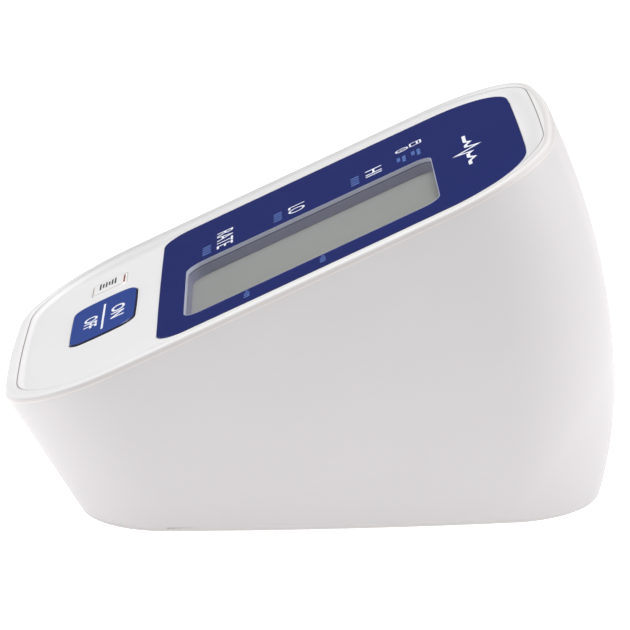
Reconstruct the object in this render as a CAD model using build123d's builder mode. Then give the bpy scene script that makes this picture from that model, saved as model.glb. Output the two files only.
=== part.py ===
from build123d import *
from math import cos, radians, sin
import os

# Desktop upper-arm blood pressure monitor, main unit.
# Millimetres. +X is the user's right, +Y runs from the user to the rear, +Z is up.
# The origin is on the table under the middle of the unit.

# ------------------------------------------------------------- control panel plane
panel_slope = 25.36  # lean of the control panel from the table, degrees
panel_front_y = -64.85  # lower edge of the panel plane
panel_front_z = 24.92

# ------------------------------------------------------------- case outline and walls
foot_height = 0.5  # gap under the base
seam_depth = 0.33  # case seam below the panel plane
seam_half_widths = (51.1, 51.5, 50.4)  # at the front corners, amidships, at the rear corners
seam_reach = (-0.85, 127.4)  # front and rear of the seam, up the slope
seam_bows = (2.6, 5.6)  # how far the corners fall back from the middle of each end
seam_corners = (27.0, 26.0)  # front and rear corner radii
base_half_widths = (46.1, 45.65, 39.8)
base_front_reach = 65.95  # from the line where the base and seam planes meet
base_bows = (1.6, 2.8)
base_corners = (18.4, 22.8)
rear_tuck = 7.0  # how far the rear wall draws in at the base
rear_tuck_power = 3
side_swell_power = 1.25  # above one, the side walls are slightly full
section_shares = (0.0, 0.12, 0.25, 0.5, 0.75, 1.0)
base_round = 1.4
case_wall = 2.2
case_floor = 2.0
seam_chamfer = 0.3

# ------------------------------------------------------------- rim, fascia and display
rim_height = 0.87  # crest over the panel plane
rim_width = 2.9
rim_outer_round = 1.1
rim_inner_round = 0.9
recess_floor = -1.6  # levels along the panel normal
deck_bottom = -2.9
skirt_bottom = -6.0
skirt_wall = 1.6
skirt_gap = 0.15
skirt_draft = 1.1  # the skirt follows the side walls inwards
fascia_gap = 0.25
fascia_top = -0.1
fascia_edge_round = 0.3
lens_side_borders = (7.2, 7.4, 6.9)  # from the case seam: front corners, amidships, rear corners
lens_front = 35.2
lens_rear_border = 7.5
lens_bows = (0.2, 0.4)
lens_corners = (6.5, 18.0)
lens_top = 0.05
lens_thickness = 0.8
lens_gap = 0.12
mask_thickness = 0.15
window_centre = (12.97, 70.68)
window_size = (42.6, 58.2)
window_corner = 4.0
opening_margin = 0.3  # openings under the printed window are this much larger

# ------------------------------------------------------------- buttons
button_gap = 0.2
button_travel = 0.7
button_flange = 1.2
button_flange_thickness = 1.0
deck_clearance = 0.2
start_centre = 0.3
start_reach = (13.9, 29.5)
start_half_width = 14.95
start_side_bow = 0.8
start_end_bow = 0.15
start_corner = 3.8
start_top = 0.35
start_bevel = 0.25
memory_centre = (-27.2, 22.0)
memory_size = (9.7, 8.4)
memory_corner = 1.2
memory_top = 0.1
memory_bevel = 0.3

# ------------------------------------------------------------- display and circuit board
lcd_size = (46.6, 62.6, 2.5)
lcd_gap = 0.15
small_corner = 0.15  # outline rounding of small moulded pieces
holder_wall = 2.0
holder_lip = 2.5
board_top = -8.5
board_thickness = 1.6
board_side_gaps = (10.1, 10.0, 9.9)  # from the case seam
board_front = 7.0
board_rear_gap = 11.4
board_bows = (1.0, 2.0)
board_corners = (14.0, 16.0)
board_post_radius = 2.6
board_post_insets = ((7.0, 5.5), (15.5, 5.0))  # from the sides and ends of the board, front and rear pair
board_screw_radius = 1.1
board_screw_head = (2.1, 1.2)
board_screw_length = 4.0
switch_size = 6.0
switch_height = 2.5
switch_plunger_radius = 1.7
switch_fit = 0.1
switch_floor = 0.3
switch_press_gap = 0.3  # left under the plunger when its button is down
strip_size = (38.0, 2.0)

# ------------------------------------------------------------- case screws and feet
screw_radius = 1.5
screw_hole_gap = 0.2
screw_grip_gap = 0.02
screw_length = 17.0
screw_head = (2.9, 1.8)
screw_head_gap = 0.4
screw_seat_z = 6.0
boss_radius = 4.0
boss_top_z = 12.0
post_radius = 3.5
front_screw_inset = 8.1  # from the sides of the base
front_screw_y = -35.0
rear_screw_inset = (3.6, 11.0)  # out from the battery bay's side walls, forward from its rear wall
board_notch_gap = 1.3
foot_radius = 4.5
foot_recess = 0.8
foot_gap = 0.05
foot_insets = ((16.1, 9.65), (17.8, 8.0))  # from the sides and ends of the base, front and rear pair

# ------------------------------------------------------------- batteries
cell_radius = 7.1
cell_length = 48.9
cell_nub = (2.7, 1.3)
cell_pitch = 15.0
cell_count = 4
cell_side_gap = 0.8  # to the bay's walls
cell_cover_gap = 0.5
cell_roof_gap = 0.7
bay_centre_y = 18.8
bay_wall = 2.0
bay_roof = 1.6
cover_thickness = 1.8
cover_lip = 1.2
cover_gap = 0.3
cover_grip_width = 16.0
cover_grip_reach = 3.0
cover_ridge = (12.0, 0.8, 0.4)
cover_ridge_pitch = 2.4
cover_ridge_count = 4
pivot_radius = 0.7
pivot_fit = 0.1
pivot_reach = 1.0
contact_thickness = 0.4
contact_spring_length = 5.4  # pressed by its cell
contact_size = (12.0, 11.0)
contact_spring_radius = 3.4
contact_spring_wire = 0.35
contact_spring_turns = 4

# ------------------------------------------------------------- pump and air line
pump_y = 22.0
pump_z = 33.0
motor_radius = 12.0
motor_wall = 0.9
motor_front_x = 12.0
motor_length = 26.0
endcap_thickness = 2.4
shaft_radius = 1.0
shaft_fit = 0.08
bearing_depth = 1.2
armature_radius = 7.4
armature_length = 17.0
magnet_radii = (8.2, 11.0)
magnet_gap_width = 4.0
hub_radius = 4.0
hub_length = 4.0
hub_clearance = 0.6
crank_lean = 7.0
crank_setback = 9.5  # crank pivot from the face of the motor
crank_pin_radius = 0.8
crank_pin_setback = 1.7  # end of the crank pin from its pivot
crank_pin_fit = 0.1
plate_radius = 8.0
plate_thickness = 1.6
plate_setback = 2.6  # wobble plate from the crank pivot
housing_half = 12.6
housing_corner = 3.0
housing_bore = 10.9
housing_length = 9.8
diaphragm_thickness = 1.0
head_length = 8.0
head_chamber = (4.0, 3.0)
head_chamber_count = 3
nipple_radius = 1.6
nipple_bore = 0.7
nipple_length = 4.0
nipple_spacing = 1.1  # between two nipples that face each other in a tube
foam_thickness = 1.4
foam_length = 14.0
saddle_wall = 4.0
saddle_height = 7.0
tube_wall = 0.8
tube_gap = 0.2
tube_bend = 3.5
tee_half = 2.5
jack_barrel_radius = 5.6
jack_bore_radius = 3.2
jack_bore_depth = 9.5
jack_proud = 0.7  # out of the leaning side wall at the middle of the jack
jack_length = 12.2
jack_flange_radius = 7.0
jack_flange_thickness = 1.5
jack_flange_gap = 2.0  # from the inside of the wall

# ------------------------------------------------------------- exhaust valve
valve_y = 4.0
valve_foot_gap = 0.2
valve_size = (14.0, 11.0, 16.5)
valve_wall = 1.3
coil_radius = 5.0
coil_bore = 2.25
plunger_radius = 2.15
plunger_length = 6.6
plunger_tip = (1.0, 2.0)
plunger_travel = 0.8
seat_gap = 0.05
valve_spring_radius = 1.6
valve_spring_wire = 0.2
valve_spring_turns = 3
valve_pipe_length = 3.0
valve_tube_top_z = 42.5

# ------------------------------------------------------------- pressure sensor
sensor_size = (10.0, 10.0, 4.0)
sensor_bore_depth = 2.0
sensor_bend_z = 43.0

# ------------------------------------------------------------- power socket
power_x = -14.0
power_z = 12.0
power_body = (10.0, 9.2, 11.0)
power_barrel_radius = 5.0
power_barrel_length = 4.8
power_proud = 0.5  # out of the rear wall at the middle of the socket
power_bore_radius = 3.2
power_bore_depth = 9.0
power_pin_radius = 1.0
power_pin_recess = 1.0
port_gap = 0.15

# ------------------------------------------------------------- board parts, x, s, length, width, height
board_chips = ((-22.0, 59.0, 14.0, 14.0, 1.6), (-22.0, 42.0, 8.0, 10.0, 1.4), (10.0, 40.0, 10.0, 6.0, 2.0))
board_cans = ((-10.0, 30.0, 3.2, 6.0), (0.0, 30.0, 3.2, 6.0))

os.makedirs("parts", exist_ok=True)

panel_normal = (0, -sin(radians(panel_slope)), cos(radians(panel_slope)))
panel = Plane(origin=(0, panel_front_y, panel_front_z), x_dir=(1, 0, 0), z_dir=panel_normal)
panel_axis = Axis(panel.origin, panel.z_dir)

# The case is a wedge: its sections lie on planes that fan out from the line
# where the base plane meets the seam plane.
seam_origin = panel.offset(-seam_depth).origin
fan_run = (seam_origin.Z - foot_height) / sin(radians(panel_slope))
fan_y = seam_origin.Y - fan_run * cos(radians(panel_slope))
front_top_y = (fan_run + seam_reach[0]) * cos(radians(panel_slope))
front_top_z = (fan_run + seam_reach[0]) * sin(radians(panel_slope))
base_front_y = fan_y + base_front_reach
base_rear_y = fan_y + fan_run + seam_reach[1] - rear_tuck
unit_height = panel_front_z + (seam_reach[1] + rim_width) * sin(radians(panel_slope))

lens_half_widths = [half - border for half, border in zip(seam_half_widths, lens_side_borders)]
lens_reach = (lens_front, seam_reach[1] - lens_rear_border)
board_half_widths = [half - gap for half, gap in zip(seam_half_widths, board_side_gaps)]
board_reach = (board_front, seam_reach[1] - board_rear_gap)


def blend(low, high, share):
    """Value between low and high."""
    return low + (high - low) * share


def outline(plane, half_widths, reach, bows, corners, inset=0.0):
    """Face with four bowed sides and rounded corners, drawn on a plane."""
    front_half, middle_half, rear_half = (half - inset for half in half_widths)
    front = reach[0] + inset
    rear = reach[1] - inset
    front_side = front + bows[0]
    rear_side = rear - bows[1]
    middle = (front_side + rear_side) / 2
    with BuildSketch(plane) as face:
        with BuildLine():
            ThreePointArc((-front_half, front_side), (0, front), (front_half, front_side))
            ThreePointArc((front_half, front_side), (middle_half, middle), (rear_half, rear_side))
            ThreePointArc((rear_half, rear_side), (0, rear), (-rear_half, rear_side))
            ThreePointArc((-rear_half, rear_side), (-middle_half, middle), (-front_half, front_side))
        make_face()
        fillet(face.vertices().group_by(Axis.Y)[0], radius=corners[0] - inset)
        fillet(face.vertices().group_by(Axis.Y)[-1], radius=corners[1] - inset)
    return face.sketch


def seam_outline(level, inset):
    """Case outline at the seam, moved to a level along the panel normal."""
    return outline(panel.offset(level), seam_half_widths, seam_reach, seam_bows, seam_corners, inset)


def case_section(share, inset):
    """Case outline on a fan plane: share 0 is the base, share 1 the seam."""
    lean = radians(panel_slope * share)
    plane = Plane(origin=(0, fan_y, foot_height), x_dir=(1, 0, 0), z_dir=(0, -sin(lean), cos(lean)))
    swell = 1 - (1 - share) ** side_swell_power
    wall_run = base_front_reach - front_top_y
    front = base_front_reach * front_top_z / (front_top_z * cos(lean) + wall_run * sin(lean))
    rear = fan_run + seam_reach[1] - rear_tuck * (1 - share) ** rear_tuck_power
    half_widths = [blend(low, high, swell) for low, high in zip(base_half_widths, seam_half_widths)]
    bows = [blend(low, high, swell) for low, high in zip(base_bows, seam_bows)]
    corners = [blend(low, high, swell) for low, high in zip(base_corners, seam_corners)]
    return outline(plane, half_widths, (front, rear), bows, corners, inset)


def start_outline(level, growth):
    """Barrel-shaped outline of the start and stop button, grown all round."""
    half = start_half_width + growth
    front = start_reach[0] - growth
    rear = start_reach[1] + growth
    middle = (front + rear) / 2
    with BuildSketch(panel.offset(level)) as face:
        with BuildLine():
            ThreePointArc(
                (start_centre - half + start_side_bow, front + start_end_bow),
                (start_centre, front),
                (start_centre + half - start_side_bow, front + start_end_bow),
            )
            ThreePointArc(
                (start_centre + half - start_side_bow, front + start_end_bow),
                (start_centre + half, middle),
                (start_centre + half - start_side_bow, rear - start_end_bow),
            )
            ThreePointArc(
                (start_centre + half - start_side_bow, rear - start_end_bow),
                (start_centre, rear),
                (start_centre - half + start_side_bow, rear - start_end_bow),
            )
            ThreePointArc(
                (start_centre - half + start_side_bow, rear - start_end_bow),
                (start_centre - half, middle),
                (start_centre - half + start_side_bow, front + start_end_bow),
            )
        make_face()
        fillet(face.vertices(), radius=start_corner + growth)
    return face.sketch


def memory_outline(level, growth):
    """Outline of the memory button, grown all round."""
    width, length = (size + 2 * growth for size in memory_size)
    with BuildSketch(panel.offset(level)) as face:
        with Locations(memory_centre):
            RectangleRounded(width, length, memory_corner + growth)
    return face.sketch


def panel_rectangle(level, centre, size, corner):
    """Rounded rectangle at a level of the panel."""
    with BuildSketch(panel.offset(level)) as face:
        with Locations(centre):
            RectangleRounded(size[0], size[1], corner)
    return face.sketch


def panel_discs(level, places, radius):
    """Discs at a level of the panel."""
    with BuildSketch(panel.offset(level)) as face:
        with Locations(*places):
            Circle(radius)
    return face.sketch


def table_discs(level, places, radius):
    """Discs at a height over the table."""
    with BuildSketch(Plane.XY.offset(level)) as face:
        with Locations(*places):
            Circle(radius)
    return face.sketch


def table_rectangle(level, centre, size):
    """Rectangle at a height over the table."""
    with BuildSketch(Plane.XY.offset(level)) as face:
        with Locations(centre):
            Rectangle(size[0], size[1])
    return face.sketch


def mirrored_pairs(front, rear):
    """Four places: a front and a rear one, each on both sides of the middle."""
    return [(side * x, y) for x, y in (front, rear) for side in (-1, 1)]


def cut_from_table(face, top_z):
    """Cut a face that lies on the table straight up to a height."""
    extrude(face, amount=top_z, dir=(0, 0, 1), mode=Mode.SUBTRACT)


def pump_disc(x, radius):
    """Disc across the pump axis, facing +X."""
    with BuildSketch(Plane.YZ.offset(x)) as face:
        with Locations((pump_y, pump_z)):
            Circle(radius)
    return face.sketch


# ------------------------------------------------------------- lower case
cell_axis_z = foot_height + cover_thickness + cell_cover_gap + cell_radius
bay_width = (cell_count - 1) * cell_pitch + 2 * (cell_radius + cell_side_gap)
bay_length = cell_length + cell_nub[1] + contact_spring_length + 2 * contact_thickness
bay_roof_z = cell_axis_z + cell_radius + cell_roof_gap
bay_size = (bay_width, bay_length)
bay_outer_size = (bay_width + 2 * bay_wall, bay_length + 2 * bay_wall)
bay_front_y = bay_centre_y - bay_length / 2
bay_rear_y = bay_centre_y + bay_length / 2
bay_top_z = bay_roof_z + bay_roof
bay_middle = (0, bay_centre_y)
cover_half_width = bay_width / 2 + cover_lip - cover_gap
cover_rear_y = bay_rear_y + cover_lip - cover_gap
pivot_y = bay_front_y - cover_lip + cover_gap + cover_thickness / 2
pivot_z = foot_height + cover_thickness / 2
foam_radius = motor_radius + foam_thickness
motor_rear_x = motor_front_x + motor_length
saddle_x = motor_front_x + motor_length / 2
saddle_faces = (saddle_x - foam_length / 2, saddle_x + foam_length / 2 - saddle_wall)
screw_places = mirrored_pairs(
    (base_half_widths[0] - front_screw_inset, front_screw_y),
    (bay_outer_size[0] / 2 + rear_screw_inset[0], bay_rear_y + bay_wall - rear_screw_inset[1]),
)
foot_places = mirrored_pairs(
    (base_half_widths[0] - foot_insets[0][0], base_front_y + foot_insets[0][1]),
    (base_half_widths[2] - foot_insets[1][0], base_rear_y - foot_insets[1][1]),
)

with BuildPart() as case_block:
    loft([case_section(share, 0) for share in section_shares])

with BuildPart() as case_cavity:
    loft([case_section(share, case_wall) for share in section_shares])
    split(bisect_by=Plane.XY.offset(foot_height + case_floor), keep=Keep.TOP)


def wall_point(start, direction):
    """Place where a line from inside the case leaves its outer wall."""
    return case_block.part.find_intersection_points(Axis(start, direction))[-1][0]


# the air jack sits in the left wall and the power socket in the rear wall
jack_wall_x = wall_point((0, pump_y, pump_z), (-1, 0, 0)).X
jack_front_x = jack_wall_x - jack_proud
jack_flange_x = jack_wall_x + case_wall + jack_flange_gap
power_wall_y = wall_point((power_x, 0, power_z), (0, 1, 0)).Y
power_face_y = power_wall_y + power_proud
power_front_y = power_face_y - power_barrel_length


def power_disc(y, radius):
    """Disc across the axis of the power socket."""
    with BuildSketch(Plane.XZ.offset(-y)) as face:
        with Locations((power_x, power_z)):
            Circle(radius)
    return face.sketch


with BuildPart() as lower_case:
    add(case_block.part)
    fillet(lower_case.faces().sort_by(Axis.Z)[0].edges(), radius=base_round)
    chamfer(lower_case.faces().sort_by(panel_axis)[-1].edges(), length=seam_chamfer)
    add(case_cavity.part, mode=Mode.SUBTRACT)
    # battery bay, open below, with a rebate for its cover
    bay_block = table_rectangle(foot_height, bay_middle, bay_outer_size)
    extrude(bay_block, amount=bay_top_z - foot_height, dir=(0, 0, 1))
    cut_from_table(table_rectangle(0, bay_middle, bay_size), bay_roof_z)
    cut_from_table(
        table_rectangle(0, bay_middle, (bay_width + 2 * cover_lip, bay_length + 2 * cover_lip)),
        foot_height + cover_thickness + contact_thickness,
    )
    # round sockets for the pivots of the battery cover
    with BuildSketch(Plane.YZ):
        with Locations((pivot_y, pivot_z)):
            Circle(pivot_radius + pivot_fit)
    extrude(amount=cover_half_width + pivot_reach + cover_gap, both=True, mode=Mode.SUBTRACT)
    # finger dip behind the cover
    grip_size = (cover_grip_width, 2 * cover_grip_reach)
    cut_from_table(table_rectangle(0, (0, bay_rear_y + cover_lip), grip_size), foot_height + foot_recess)
    # saddle for the pump motor
    for face_x in saddle_faces:
        with BuildSketch(Plane.YZ.offset(face_x)):
            with Locations((pump_y, bay_top_z + saddle_height / 2)):
                Rectangle(2 * foam_radius, saddle_height)
            with Locations((pump_y, pump_z)):
                Circle(foam_radius, mode=Mode.SUBTRACT)
        extrude(amount=saddle_wall)
    # bosses for the case screws
    boss_discs = table_discs(foot_height + case_floor, screw_places, boss_radius)
    extrude(boss_discs, amount=boss_top_z - foot_height - case_floor, dir=(0, 0, 1))
    cut_from_table(table_discs(0, screw_places, screw_head[0] + screw_head_gap), screw_seat_z)
    cut_from_table(table_discs(0, screw_places, screw_radius + screw_hole_gap), unit_height)
    # recesses for the feet
    cut_from_table(table_discs(0, foot_places, foot_radius + foot_gap), foot_height + foot_recess)
    # holes for the air jack and the power socket
    jack_hole = pump_disc(jack_flange_x, jack_barrel_radius + port_gap)
    extrude(jack_hole, amount=jack_length, dir=(-1, 0, 0), mode=Mode.SUBTRACT)
    power_hole = power_disc(power_front_y, power_barrel_radius + port_gap)
    extrude(power_hole, amount=power_body[1], dir=(0, 1, 0), mode=Mode.SUBTRACT)
lower_case.part.label = "lower_case"
export_step(lower_case.part, "parts/lower_case.step")

# ------------------------------------------------------------- upper case
skirt_inset = case_wall + skirt_gap
board_posts = mirrored_pairs(
    (board_half_widths[0] - board_post_insets[0][0], board_reach[0] + board_post_insets[0][1]),
    (board_half_widths[2] - board_post_insets[1][0], board_reach[1] - board_post_insets[1][1]),
)
window_hole = [size + 2 * opening_margin for size in window_size]

with BuildPart() as upper_case:
    extrude(seam_outline(-seam_depth, 0), amount=rim_height + seam_depth, dir=panel_normal)
    extrude(
        seam_outline(recess_floor, rim_width),
        amount=rim_height - recess_floor,
        dir=panel_normal,
        mode=Mode.SUBTRACT,
    )
    rim_face = upper_case.faces().sort_by(panel_axis)[-1]
    fillet(rim_face.outer_wire().edges(), radius=rim_outer_round)
    rim_face = upper_case.faces().sort_by(panel_axis)[-1]
    fillet(rim_face.inner_wires().edges(), radius=rim_inner_round)
    # deck with a skirt that drops inside the lower case
    loft([seam_outline(skirt_bottom, skirt_inset + skirt_draft), seam_outline(-seam_depth, skirt_inset)])
    extrude(
        seam_outline(skirt_bottom, skirt_inset + skirt_draft + skirt_wall),
        amount=deck_bottom - skirt_bottom,
        dir=panel_normal,
        mode=Mode.SUBTRACT,
    )
    extrude(
        seam_outline(recess_floor, rim_width),
        amount=rim_height - recess_floor,
        dir=panel_normal,
        mode=Mode.SUBTRACT,
    )
    # openings for the display and the buttons
    extrude(
        panel_rectangle(deck_bottom, window_centre, window_hole, window_corner + opening_margin),
        amount=-deck_bottom,
        dir=panel_normal,
        mode=Mode.SUBTRACT,
    )
    for hole in (start_outline(deck_bottom, button_gap), memory_outline(deck_bottom, button_gap)):
        extrude(hole, amount=-deck_bottom, dir=panel_normal, mode=Mode.SUBTRACT)
    # posts that carry the circuit board
    post_discs = panel_discs(board_top, board_posts, board_post_radius)
    extrude(post_discs, amount=deck_bottom - board_top, dir=panel_normal)
    extrude(
        panel_discs(board_top, board_posts, board_screw_radius + screw_grip_gap),
        amount=board_screw_length,
        dir=panel_normal,
        mode=Mode.SUBTRACT,
    )
    # posts that take the case screws
    with BuildSketch(Plane.XY.offset(boss_top_z)):
        with Locations(*screw_places):
            Circle(post_radius)
    extrude(until=Until.NEXT)
    extrude(
        table_discs(boss_top_z, screw_places, screw_radius + screw_grip_gap),
        amount=screw_length,
        dir=(0, 0, 1),
        mode=Mode.SUBTRACT,
    )
upper_case.part.label = "upper_case"
export_step(upper_case.part, "parts/upper_case.step")

# ------------------------------------------------------------- fascia, lens and printed mask
lens_bottom = lens_top - lens_thickness
lens_floor = lens_bottom - mask_thickness

with BuildPart() as front_panel:
    extrude(
        seam_outline(recess_floor, rim_width + fascia_gap),
        amount=fascia_top - recess_floor,
        dir=panel_normal,
    )
    fillet(front_panel.faces().sort_by(panel_axis)[-1].edges(), radius=fascia_edge_round)
    extrude(
        outline(panel.offset(lens_floor), lens_half_widths, lens_reach, lens_bows, lens_corners, -lens_gap),
        amount=-lens_floor,
        dir=panel_normal,
        mode=Mode.SUBTRACT,
    )
    extrude(
        panel_rectangle(recess_floor, window_centre, window_hole, window_corner + opening_margin),
        amount=-recess_floor,
        dir=panel_normal,
        mode=Mode.SUBTRACT,
    )
    for hole in (start_outline(recess_floor, button_gap), memory_outline(recess_floor, button_gap)):
        extrude(hole, amount=-recess_floor, dir=panel_normal, mode=Mode.SUBTRACT)
front_panel.part.label = "front_panel"
export_step(front_panel.part, "parts/front_panel.step")

with BuildPart() as display_lens:
    extrude(
        outline(panel.offset(lens_bottom), lens_half_widths, lens_reach, lens_bows, lens_corners),
        amount=lens_thickness,
        dir=panel_normal,
    )
display_lens.part.label = "display_lens"
export_step(display_lens.part, "parts/display_lens.step")

with BuildPart() as display_mask:
    extrude(
        outline(panel.offset(lens_floor), lens_half_widths, lens_reach, lens_bows, lens_corners),
        amount=mask_thickness,
        dir=panel_normal,
    )
    extrude(
        panel_rectangle(lens_floor, window_centre, window_size, window_corner),
        amount=mask_thickness,
        dir=panel_normal,
        mode=Mode.SUBTRACT,
    )
display_mask.part.label = "display_mask"
export_step(display_mask.part, "parts/display_mask.step")

# ------------------------------------------------------------- buttons and their switches
flange_top = deck_bottom - deck_clearance
flange_bottom = flange_top - button_flange_thickness
start_place = (start_centre, (start_reach[0] + start_reach[1]) / 2)
plunger_bottom = board_top + switch_floor + switch_press_gap + button_travel

with BuildPart() as start_stop_button:
    extrude(start_outline(flange_top, 0), amount=start_top - flange_top, dir=panel_normal)
    chamfer(start_stop_button.faces().sort_by(panel_axis)[-1].edges(), length=start_bevel)
    extrude(
        start_outline(flange_bottom, button_gap + button_flange),
        amount=button_flange_thickness,
        dir=panel_normal,
    )
start_stop_button.part.label = "start_stop_button"
export_step(start_stop_button.part, "parts/start_stop_button.step")

with BuildPart() as memory_button:
    extrude(memory_outline(flange_top, 0), amount=memory_top - flange_top, dir=panel_normal)
    chamfer(memory_button.faces().sort_by(panel_axis)[-1].edges(), length=memory_bevel)
    extrude(
        memory_outline(flange_bottom, button_gap + button_flange),
        amount=button_flange_thickness,
        dir=panel_normal,
    )
memory_button.part.label = "memory_button"
export_step(memory_button.part, "parts/memory_button.step")


def switch_housing(place):
    """Solid square housing of a push switch on the circuit board, with its bore."""
    with BuildPart() as housing:
        extrude(
            panel_rectangle(board_top, place, (switch_size, switch_size), small_corner),
            amount=switch_height,
            dir=panel_normal,
        )
        extrude(
            panel_discs(board_top + switch_floor, [place], switch_plunger_radius + switch_fit),
            amount=switch_height,
            dir=panel_normal,
            mode=Mode.SUBTRACT,
        )
    return housing.part


def switch_plunger(place):
    """Round plunger that hangs from a button into its switch."""
    with BuildPart() as plunger:
        extrude(
            panel_discs(plunger_bottom, [place], switch_plunger_radius),
            amount=flange_bottom - plunger_bottom,
            dir=panel_normal,
        )
    return plunger.part


start_switch = switch_housing(start_place)
start_switch.label = "start_switch"
export_step(start_switch, "parts/start_switch.step")

memory_switch = switch_housing(memory_centre)
memory_switch.label = "memory_switch"
export_step(memory_switch, "parts/memory_switch.step")

start_plunger = switch_plunger(start_place)
start_plunger.label = "start_plunger"
export_step(start_plunger, "parts/start_plunger.step")

memory_plunger = switch_plunger(memory_centre)
memory_plunger.label = "memory_plunger"
export_step(memory_plunger, "parts/memory_plunger.step")

# ------------------------------------------------------------- display and circuit board
lcd_top = deck_bottom - lcd_gap
lcd_bottom = lcd_top - lcd_size[2]
holder_inner = (lcd_size[0] + 2 * lcd_gap, lcd_size[1] + 2 * lcd_gap)
holder_outer = (holder_inner[0] + 2 * holder_wall, holder_inner[1] + 2 * holder_wall)
holder_open = (lcd_size[0] - 2 * holder_lip, lcd_size[1] - 2 * holder_lip)

with BuildPart() as lcd_glass:
    extrude(
        panel_rectangle(lcd_bottom, window_centre, lcd_size, small_corner),
        amount=lcd_size[2],
        dir=panel_normal,
    )
lcd_glass.part.label = "lcd_glass"
export_step(lcd_glass.part, "parts/lcd_glass.step")

with BuildPart() as lcd_holder:
    extrude(
        panel_rectangle(board_top, window_centre, holder_outer, holder_wall),
        amount=deck_bottom - board_top,
        dir=panel_normal,
    )
    extrude(
        panel_rectangle(lcd_bottom, window_centre, holder_inner, small_corner),
        amount=deck_bottom - lcd_bottom,
        dir=panel_normal,
        mode=Mode.SUBTRACT,
    )
    extrude(
        panel_rectangle(board_top, window_centre, holder_open, small_corner),
        amount=lcd_bottom - board_top,
        dir=panel_normal,
        mode=Mode.SUBTRACT,
    )
lcd_holder.part.label = "lcd_holder"
export_step(lcd_holder.part, "parts/lcd_holder.step")

strip_place = (window_centre[0], window_centre[1] + holder_open[1] / 2 - strip_size[1])

with BuildPart() as lcd_connector:
    extrude(
        panel_rectangle(board_top, strip_place, strip_size, small_corner),
        amount=lcd_bottom - board_top,
        dir=panel_normal,
    )
lcd_connector.part.label = "lcd_connector"
export_step(lcd_connector.part, "parts/lcd_connector.step")

board_bottom = board_top - board_thickness

with BuildPart() as main_board:
    extrude(
        outline(panel.offset(board_bottom), board_half_widths, board_reach, board_bows, board_corners),
        amount=board_thickness,
        dir=panel_normal,
    )
    cut_from_table(table_discs(0, screw_places, post_radius + board_notch_gap), unit_height)
    extrude(
        panel_discs(board_bottom, board_posts, board_screw_radius + screw_hole_gap),
        amount=board_thickness,
        dir=panel_normal,
        mode=Mode.SUBTRACT,
    )
main_board.part.label = "main_board"
export_step(main_board.part, "parts/main_board.step")

with BuildPart() as board_screws:
    extrude(
        panel_discs(board_bottom, board_posts, board_screw_radius),
        amount=board_thickness + board_screw_length,
        dir=panel_normal,
    )
    extrude(
        panel_discs(board_bottom - board_screw_head[1], board_posts, board_screw_head[0]),
        amount=board_screw_head[1],
        dir=panel_normal,
    )
board_screws.part.label = "board_screws"
export_step(board_screws.part, "parts/board_screws.step")

with BuildPart() as board_components:
    for x, s, width, length, height in board_chips:
        extrude(
            panel_rectangle(board_bottom - height, (x, s), (width, length), small_corner),
            amount=height,
            dir=panel_normal,
        )
    for x, s, radius, height in board_cans:
        extrude(panel_discs(board_bottom - height, [(x, s)], radius), amount=height, dir=panel_normal)
board_components.part.label = "board_components"
export_step(board_components.part, "parts/board_components.step")

# ------------------------------------------------------------- case screws and feet
with BuildPart() as case_screws:
    extrude(table_discs(screw_seat_z, screw_places, screw_radius), amount=screw_length, dir=(0, 0, 1))
    extrude(
        table_discs(screw_seat_z - screw_head[1], screw_places, screw_head[0]),
        amount=screw_head[1],
        dir=(0, 0, 1),
    )
case_screws.part.label = "case_screws"
export_step(case_screws.part, "parts/case_screws.step")

with BuildPart() as rubber_feet:
    extrude(table_discs(0, foot_places, foot_radius), amount=foot_height + foot_recess, dir=(0, 0, 1))
rubber_feet.part.label = "rubber_feet"
export_step(rubber_feet.part, "parts/rubber_feet.step")

# ------------------------------------------------------------- battery cover
cover_length = cover_rear_y - pivot_y

with BuildPart() as battery_cover:
    extrude(
        table_rectangle(foot_height, (0, pivot_y + cover_length / 2), (2 * cover_half_width, cover_length)),
        amount=cover_thickness,
        dir=(0, 0, 1),
    )
    with BuildSketch(Plane.YZ):
        with Locations((pivot_y, pivot_z)):
            Circle(cover_thickness / 2)
    extrude(amount=cover_half_width, both=True)
    with BuildSketch(Plane.YZ):
        with Locations((pivot_y, pivot_z)):
            Circle(pivot_radius)
    extrude(amount=cover_half_width + pivot_reach, both=True)
    # grip ridges cut into the outer face near the rear edge
    with BuildSketch(Plane.XY.offset(foot_height)):
        with Locations((0, cover_rear_y - cover_ridge_count * cover_ridge_pitch)):
            with GridLocations(0, cover_ridge_pitch, 1, cover_ridge_count):
                Rectangle(cover_ridge[0], cover_ridge[1])
    extrude(amount=cover_ridge[2], mode=Mode.SUBTRACT)
battery_cover.part.label = "battery_cover"
export_step(battery_cover.part, "parts/battery_cover.step")

# ------------------------------------------------------------- batteries and contacts
cell_xs = [cell_pitch * (index - (cell_count - 1) / 2) for index in range(cell_count)]
plate_front_y = bay_front_y + contact_thickness
plate_rear_y = bay_rear_y - contact_thickness

with BuildPart() as battery_cells:
    for index, x in enumerate(cell_xs):
        # the positive end alternates between rear and front
        facing = 1 if index % 2 == 0 else -1
        nub_end_y = plate_rear_y if facing > 0 else plate_front_y
        cap_y = nub_end_y - facing * cell_nub[1]
        with BuildSketch(Plane.XZ.offset(-cap_y)):
            with Locations((x, cell_axis_z)):
                Circle(cell_radius)
        extrude(amount=cell_length, dir=(0, -facing, 0))
        with BuildSketch(Plane.XZ.offset(-cap_y)):
            with Locations((x, cell_axis_z)):
                Circle(cell_nub[0])
        extrude(amount=cell_nub[1], dir=(0, facing, 0))
battery_cells.part.label = "battery_cells"
export_step(battery_cells.part, "parts/battery_cells.step")

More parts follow.
